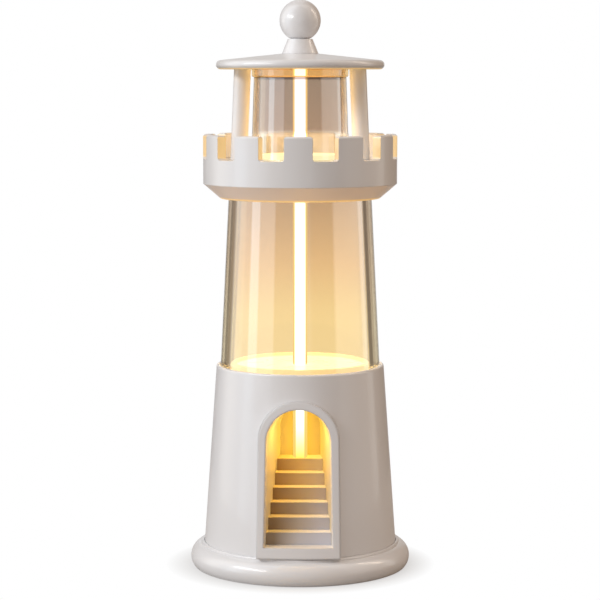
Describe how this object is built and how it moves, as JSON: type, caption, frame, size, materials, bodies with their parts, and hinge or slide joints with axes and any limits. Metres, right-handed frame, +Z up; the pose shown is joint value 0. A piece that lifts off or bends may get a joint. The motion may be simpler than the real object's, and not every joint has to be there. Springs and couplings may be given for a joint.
{
  "type": "lighthouse table lamp",
  "caption": "Table lamp shaped like a lighthouse, with a round foot, a tapered base with an arched doorway and stairs, a glass tower, a castellated gallery and a ball-topped roof.",
  "frame": {"origin": "on the ground under the middle of the foot ring", "axes": "+Z up, doorway faces -Y"},
  "size_m": [0.1166, 0.1166, 0.299],
  "materials": {
    "white_plastic": "glossy warm white",
    "cover_plastic": "matte light grey",
    "stair_plastic": "warm cream, lit from the tube",
    "light_disc": "milky warm diffuser",
    "tower_glass": "clear, warm tint",
    "lantern_glass": "clear, warm grey tint",
    "light_tube": "lit diffuser tube"
  },
  "bodies": {
    "root": {"foot_ring": "white_plastic", "bottom_cover": "cover_plastic", "base_wall": "white_plastic", "door_frame": "white_plastic", "niche_floor": "white_plastic", "niche_left_wall": "stair_plastic", "niche_right_wall": "stair_plastic", "niche_back_wall": "stair_plastic", "niche_vault": "stair_plastic", "step_1": "stair_plastic", "step_2": "stair_plastic", "step_3": "stair_plastic", "step_4": "stair_plastic", "step_5": "stair_plastic", "landing": "stair_plastic", "base_deck": "white_plastic", "light_disc": "light_disc", "tower_glass": "tower_glass", "light_tube": "light_tube", "gallery": "white_plastic", "gallery_floor": "white_plastic", "lantern_disc": "light_disc", "lantern_glass": "lantern_glass", "lantern_cap": "lantern_glass", "left_post": "white_plastic", "right_post": "white_plastic", "roof": "white_plastic", "finial_neck": "white_plastic", "finial_ball": "white_plastic"}
  },
  "joints": []
}
